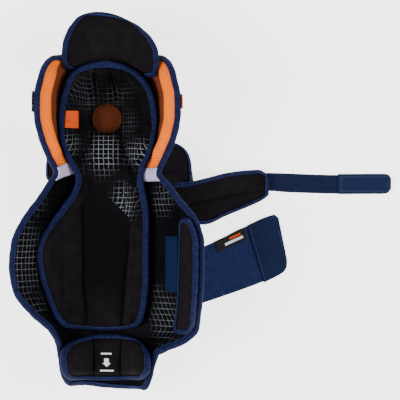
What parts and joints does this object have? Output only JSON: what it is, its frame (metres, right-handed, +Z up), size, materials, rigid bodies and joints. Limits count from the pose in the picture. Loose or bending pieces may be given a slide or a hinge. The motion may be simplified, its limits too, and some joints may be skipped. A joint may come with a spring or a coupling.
{
  "type": "hockey shin guard",
  "caption": "Padded hockey shin guard for the right leg: hard shin and knee shells outside, foam wings, knee cup, removable liner and elastic straps with hook tabs.",
  "frame": {"origin": "centre of the bounding box in plan, on the ground that the guard lies on", "axes": "+Z up out of the hollow for the leg, +Y along the leg from the ankle to the thigh, +X across the leg to its outer side, where the straps lie"},
  "size_m": [0.5024, 0.4984, 0.1116],
  "materials": {
    "shell": "smooth moulded plastic, satin",
    "foam": "brushed knit over foam",
    "print": "smooth knit over foam with a fine printed grid",
    "lining": "brushed mesh over foam",
    "tape": "folded binding tape",
    "elastic": "woven elastic",
    "rib": "ribbed elastic",
    "loop": "loop pile",
    "hook": "hook tape with a stitched edge",
    "label": "woven label",
    "bright": "woven label"
  },
  "bodies": {
    "root": {"shin_padding": "print", "neck_elastic": "rib", "knee_lining": "lining", "body_binding": "tape", "shin_shell": "shell", "knee_shell": "shell", "liner": "foam", "liner_binding": "tape", "liner_label": "bright", "ankle_pad": "foam", "ankle_pad_binding": "tape", "thigh_flap": "foam", "thigh_flap_binding": "tape", "outer_side_tab": "foam", "outer_side_tab_binding": "tape", "inner_side_tab": "foam", "inner_side_tab_binding": "tape", "calf_pad": "foam", "calf_pad_binding": "tape", "loop_patch": "loop", "upper_strap_paddle": "foam", "upper_strap_paddle_binding": "tape", "upper_strap_elastic": "elastic", "upper_strap_tab": "hook", "lower_strap_elastic": "elastic", "lower_strap_tab": "hook", "lower_strap_label": "label", "inner_knee_label": "label", "outer_knee_label": "bright"}
  },
  "joints": []
}
